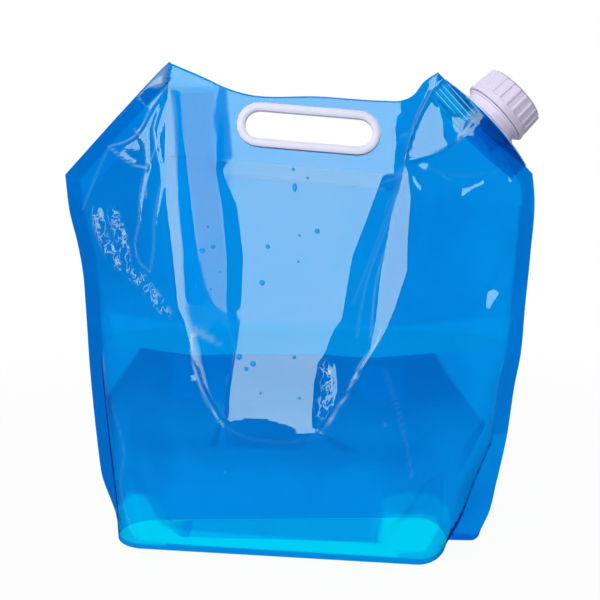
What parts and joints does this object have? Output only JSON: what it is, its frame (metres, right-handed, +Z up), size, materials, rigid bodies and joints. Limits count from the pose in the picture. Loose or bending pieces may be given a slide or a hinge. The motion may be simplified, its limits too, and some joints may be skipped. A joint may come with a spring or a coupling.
{
  "type": "collapsible water carrier",
  "caption": "Foldable film water carrier that stands on a bottom gusset, with an oblong hand slot in a sealed web and a screw-capped spout in one shoulder.",
  "frame": {"origin": "on the floor under the middle of the gusset, in the plane of the side seals", "axes": "+X right along the bag's width as seen from its front, +Y from the front to the back, +Z up; the front faces -Y and the spout is at +X"},
  "size_m": [0.3107, 0.1187, 0.3199],
  "materials": {
    "film": "clear blue film with a wet gloss",
    "handle": "moulded white, satin",
    "spout": "moulded white, satin",
    "cap": "moulded white, satin",
    "liner": "foamed white"
  },
  "bodies": {
    "bag": {"bottom_gusset": "film", "handle_front_frame": "handle", "handle_back_frame": "handle", "spout_fitment": "spout"},
    "front_film": {"front_panel": "film"},
    "back_film": {"back_panel": "film"},
    "liner": {"cap_liner": "liner"},
    "cap": {"cap_shell": "cap"}
  },
  "joints": [
    {"name": "collapse_front", "type": "slide", "parent": "bag", "child": "front_film", "axis": [0, 1, 0], "range_m": [0, 0.046], "deforming": ["front_panel", "bottom_gusset"]},
    {"name": "collapse_back", "type": "slide", "parent": "bag", "child": "back_film", "axis": [0, -1, 0], "range_m": [0, 0.046], "deforming": ["back_panel"]},
    {"name": "cap_turn", "type": "hinge", "parent": "liner", "child": "cap", "pos_m": [0.11912, 0.00716, 0.28112], "axis": [0.7056, 0.2249, 0.6719], "range_deg": [0, 1440]},
    {"name": "cap_rise", "type": "slide", "parent": "bag", "child": "liner", "axis": [0.7056, 0.2249, 0.6719], "range_m": [0, 0.016]}
  ],
  "couplings": [
    {"joint": "collapse_back", "follows": "collapse_front", "ratio": 1},
    {"joint": "cap_rise", "follows": "cap_turn", "m_per_rad": 0.00063662}
  ]
}
